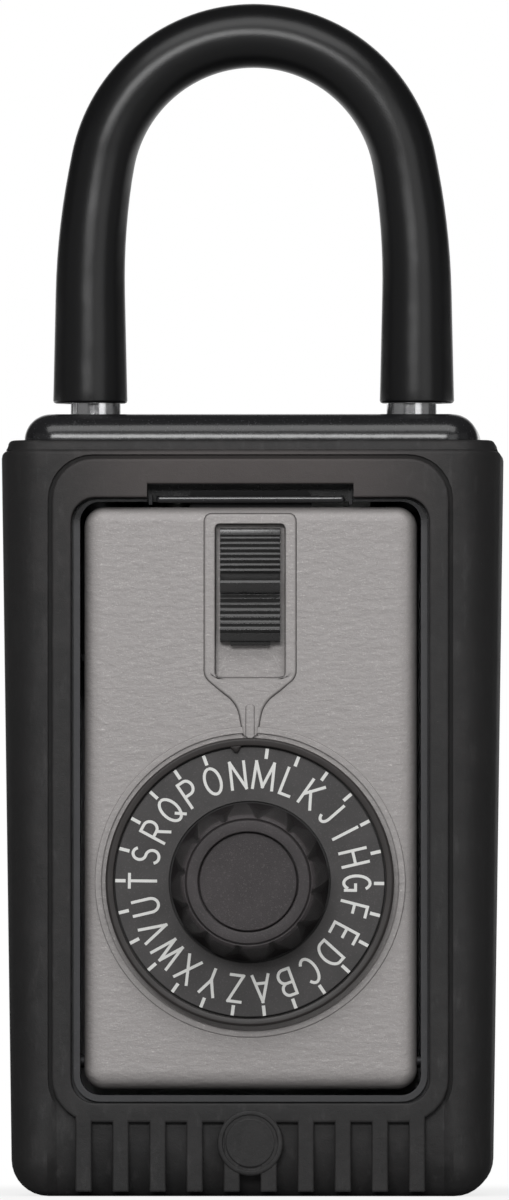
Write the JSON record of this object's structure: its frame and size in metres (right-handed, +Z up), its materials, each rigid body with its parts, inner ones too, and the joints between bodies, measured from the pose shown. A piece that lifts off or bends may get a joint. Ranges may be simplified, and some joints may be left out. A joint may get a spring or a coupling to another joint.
{
  "type": "portable key safe",
  "caption": "Portable key safe that hangs from its shackle: letter dial on a hinged door, thumb slider, rubber boot, key compartment inside.",
  "frame": {"origin": "middle of the whole box in plan, at the level of the boot's underside", "axes": "+Z up along the body to the shackle, the door and dial face -Y, +X to the right when seen from the front"},
  "size_m": [0.0746, 0.048, 0.1779],
  "materials": {
    "case_paint": "gloss black enamel",
    "zinc": "plain die-cast zinc, dull",
    "zinc_sheet": "zinc-plated sheet",
    "screw_steel": "bright zinc plate",
    "spring_steel": "bare spring steel",
    "boot_rubber": "matt moulded black",
    "shackle_steel": "bright hardened steel",
    "sleeve_vinyl": "satin black vinyl",
    "door_paint": "fine textured warm grey with a metallic fleck",
    "nylon": "natural nylon",
    "slider_plastic": "satin black",
    "dial_plastic": "satin brown black",
    "letter_plate": "dark grey with white letters",
    "knob_plastic": "grainy dark brown grey",
    "cap_plastic": "grainy dark brown grey",
    "wheel_brass": "plain brass"
  },
  "bodies": {
    "case": {"case": "case_paint", "back_plate": "zinc", "back_plate_screws": "screw_steel", "latch_staple": "case_paint", "hinge_pin": "screw_steel", "rubber_boot": "boot_rubber", "release_guide_screws": "screw_steel", "release_spring": "spring_steel"},
    "shackle": {"shackle_bar": "shackle_steel", "shackle_clip": "spring_steel", "shackle_sleeve": "sleeve_vinyl"},
    "shackle_release": {"release_plate": "zinc_sheet"},
    "door": {"door_shell": "door_paint", "door_cover": "zinc_sheet", "door_cover_screws": "screw_steel", "bolt_spring": "spring_steel", "dial_washer": "nylon", "wheel_spacers": "nylon"},
    "slider": {"slider_button": "slider_plastic", "slider_rivet": "screw_steel", "bolt_plate": "zinc_sheet"},
    "dial": {"dial_cup": "dial_plastic", "letter_plate": "letter_plate", "knob": "knob_plastic", "knob_cap": "cap_plastic", "knob_screw": "screw_steel", "spindle": "shackle_steel", "drive_cam": "wheel_brass", "spindle_clip": "spring_steel"},
    "wheel_1": {"wheel_1": "wheel_brass"},
    "wheel_2": {"wheel_2": "wheel_brass"},
    "wheel_3": {"wheel_3": "wheel_brass"}
  },
  "joints": [
    {"name": "shackle_lift", "type": "slide", "parent": "case", "child": "shackle", "axis": [0, 0, 1], "range_m": [0, 0.024]},
    {"name": "release_push", "type": "slide", "parent": "case", "child": "shackle_release", "axis": [-1, 0, 0], "range_m": [0, 0.003], "stiffness_N_per_m": 300, "springref_m": -0.002, "deforming": ["release_spring"]},
    {"name": "door_swing", "type": "hinge", "parent": "case", "child": "door", "pos_m": [0, -0.0085, 0.0201], "axis": [1, 0, 0], "range_deg": [0, 95]},
    {"name": "slider_press", "type": "slide", "parent": "door", "child": "slider", "axis": [0, 0, -1], "range_m": [0, 0.0042], "stiffness_N_per_m": 400, "springref_m": -0.002, "deforming": ["bolt_spring"]},
    {"name": "dial_spin", "type": "hinge", "parent": "door", "child": "dial", "pos_m": [0, 0, 0.0467], "axis": [0, 1, 0], "continuous": true},
    {"name": "wheel_1_spin", "type": "hinge", "parent": "door", "child": "wheel_1", "pos_m": [0, 0, 0.0467], "axis": [0, 1, 0], "range_deg": [-360, 360]},
    {"name": "wheel_2_spin", "type": "hinge", "parent": "door", "child": "wheel_2", "pos_m": [0, 0, 0.0467], "axis": [0, 1, 0], "range_deg": [-360, 360]},
    {"name": "wheel_3_spin", "type": "hinge", "parent": "door", "child": "wheel_3", "pos_m": [0, 0, 0.0467], "axis": [0, 1, 0], "range_deg": [-360, 360]}
  ]
}
